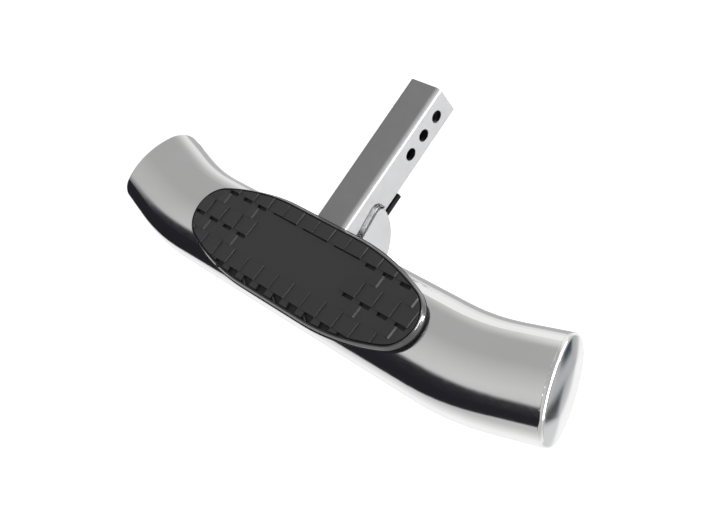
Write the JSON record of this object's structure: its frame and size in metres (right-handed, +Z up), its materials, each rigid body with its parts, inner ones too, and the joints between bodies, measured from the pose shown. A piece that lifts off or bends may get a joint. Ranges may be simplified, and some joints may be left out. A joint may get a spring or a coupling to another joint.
{
  "type": "hitch receiver step",
  "caption": "Bent oval step tube with domed end caps and a rubber tread pad, carried by cradle plates on a hollow square shank that slides into a hitch receiver.",
  "frame": {"origin": "on the shank's axis, at the axis of the middle pin hole", "axes": "+X to the right along the step, +Y along the shank towards the vehicle, +Z up"},
  "size_m": [0.745, 0.3397, 0.1028],
  "materials": {
    "stainless": "polished stainless with a fine grain along the tube",
    "shank_steel": "satin bright steel",
    "stop_paint": "satin black paint on steel plate",
    "weld_metal": "rippled weld bead",
    "pad_rubber": "matt charcoal moulding",
    "clip_nylon": "black nylon"
  },
  "bodies": {
    "root": {"step_tube": "stainless", "end_cap_left": "stainless", "end_cap_right": "stainless", "receiver_shank": "shank_steel", "cradle_plate_left": "shank_steel", "cradle_plate_right": "shank_steel", "stop_plate": "stop_paint", "cradle_shank_welds": "weld_metal", "cradle_tube_welds": "weld_metal", "shank_tube_welds": "weld_metal", "step_pad": "pad_rubber", "pad_clips": "clip_nylon"}
  },
  "joints": []
}
